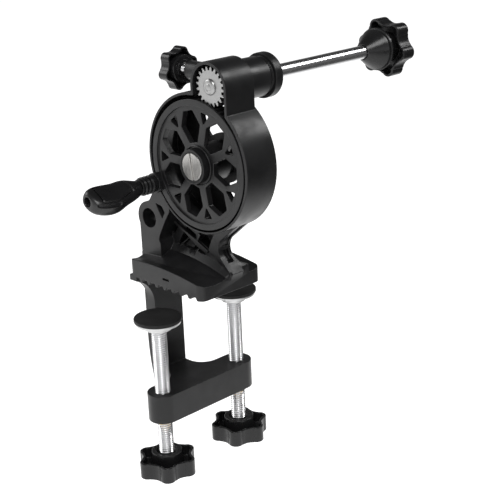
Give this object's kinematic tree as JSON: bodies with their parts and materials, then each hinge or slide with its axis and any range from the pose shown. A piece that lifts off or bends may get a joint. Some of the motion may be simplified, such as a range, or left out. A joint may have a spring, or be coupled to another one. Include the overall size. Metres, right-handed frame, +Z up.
{
  "type": "fishing line winder",
  "caption": "Fishing line winder with a table clamp: a hand-cranked gear wheel drives a long spool shaft, with a drag knob and a screw-tightened cone.",
  "frame": {"origin": "Centre of the jaw's gripping face, in line with the two clamp screws", "axes": "+X out of the clamp's mouth, +Y along the spool shaft toward its knob, +Z up"},
  "size_m": [0.1041, 0.2272, 0.2766],
  "materials": {
    "frame_plastic": "satin moulded",
    "wheel_plastic": "satin moulded",
    "grip_plastic": "satin moulded",
    "knob_plastic": "moulded",
    "pinion_zinc": "bright zinc",
    "turned_steel": "turned",
    "polished_steel": "bright zinc plated",
    "plain_steel": "zinc plated",
    "bearing_steel": "ground",
    "insert_brass": "machined brass",
    "sintered_bronze": "sintered",
    "drag_lining": "fibre lining",
    "pad_rubber": "moulded"
  },
  "bodies": {
    "frame": {"main_frame": "frame_plastic", "left_thread_insert": "insert_brass", "right_thread_insert": "insert_brass", "axle_insert": "insert_brass", "axle_screw": "turned_steel", "axle_washer": "plain_steel", "front_bearing": "bearing_steel", "rear_bearing": "bearing_steel"},
    "wheel": {"gear_wheel": "wheel_plastic", "axle_bush": "sintered_bronze", "crank_spindle": "plain_steel", "crank_collar": "wheel_plastic", "grip_screw": "plain_steel"},
    "grip": {"crank_grip": "grip_plastic"},
    "spool_drive": {"pinion_gear": "pinion_zinc", "pinion_screw": "turned_steel", "spool_shaft": "polished_steel", "drive_flange": "frame_plastic", "flange_grub_screw": "plain_steel"},
    "cone": {"spool_cone": "frame_plastic"},
    "spool_tightener": {"spool_knob": "knob_plastic", "spool_knob_nut": "insert_brass"},
    "drag_brake": {"drag_shoe": "frame_plastic", "drag_pad": "drag_lining"},
    "drag_adjuster": {"drag_screw": "polished_steel", "drag_knob": "knob_plastic"},
    "left_pad": {"left_pad_plate": "plain_steel", "left_pad_rubber": "pad_rubber"},
    "left_screw": {"left_clamp_screw": "polished_steel", "left_clamp_knob": "knob_plastic"},
    "right_pad": {"right_pad_plate": "plain_steel", "right_pad_rubber": "pad_rubber"},
    "right_screw": {"right_clamp_screw": "polished_steel", "right_clamp_knob": "knob_plastic"}
  },
  "joints": [
    {"name": "wheel_turn", "type": "hinge", "parent": "frame", "child": "wheel", "pos_m": [0.0216, 0, 0.0825], "axis": [0, 1, 0], "continuous": true},
    {"name": "grip_turn", "type": "hinge", "parent": "wheel", "child": "grip", "pos_m": [-0.01637, -0.045, 0.06551], "axis": [0, 1, 0], "continuous": true},
    {"name": "spool_turn", "type": "hinge", "parent": "frame", "child": "spool_drive", "pos_m": [0.03511, 0, 0.13222], "axis": [0, 1, 0], "continuous": true},
    {"name": "cone_slide", "type": "slide", "parent": "spool_drive", "child": "cone", "axis": [0, 1, 0], "range_m": [-0.0125, 0.0025]},
    {"name": "spool_knob_turn", "type": "hinge", "parent": "cone", "child": "spool_tightener", "pos_m": [0.03511, 0.15, 0.13222], "axis": [0, 1, 0], "range_deg": [-3600, 720]},
    {"name": "drag_slide", "type": "slide", "parent": "frame", "child": "drag_brake", "axis": [1, 0, 0], "range_m": [-0.002, 0.00025]},
    {"name": "drag_knob_turn", "type": "hinge", "parent": "drag_brake", "child": "drag_adjuster", "pos_m": [0, 0.0032, 0.13702], "axis": [1, 0, 0], "range_deg": [-720, 90]},
    {"name": "left_pad_slide", "type": "slide", "parent": "frame", "child": "left_pad", "axis": [0, 0, 1], "range_m": [-0.042, 0.015]},
    {"name": "left_screw_turn", "type": "hinge", "parent": "left_pad", "child": "left_screw", "pos_m": [0, -0.0333, -0.06], "axis": [0, 0, 1], "range_deg": [-10080, 3600]},
    {"name": "right_pad_slide", "type": "slide", "parent": "frame", "child": "right_pad", "axis": [0, 0, 1], "range_m": [-0.042, 0.015]},
    {"name": "right_screw_turn", "type": "hinge", "parent": "right_pad", "child": "right_screw", "pos_m": [0, 0.0333, -0.06], "axis": [0, 0, 1], "range_deg": [-10080, 3600]}
  ],
  "couplings": [
    {"joint": "spool_turn", "follows": "wheel_turn", "ratio": -3.6},
    {"joint": "spool_knob_turn", "follows": "cone_slide", "rad_per_m": 5026.5},
    {"joint": "drag_knob_turn", "follows": "drag_slide", "rad_per_m": 6283.2},
    {"joint": "left_screw_turn", "follows": "left_pad_slide", "rad_per_m": 4188.8},
    {"joint": "right_screw_turn", "follows": "right_pad_slide", "rad_per_m": 4188.8}
  ]
}
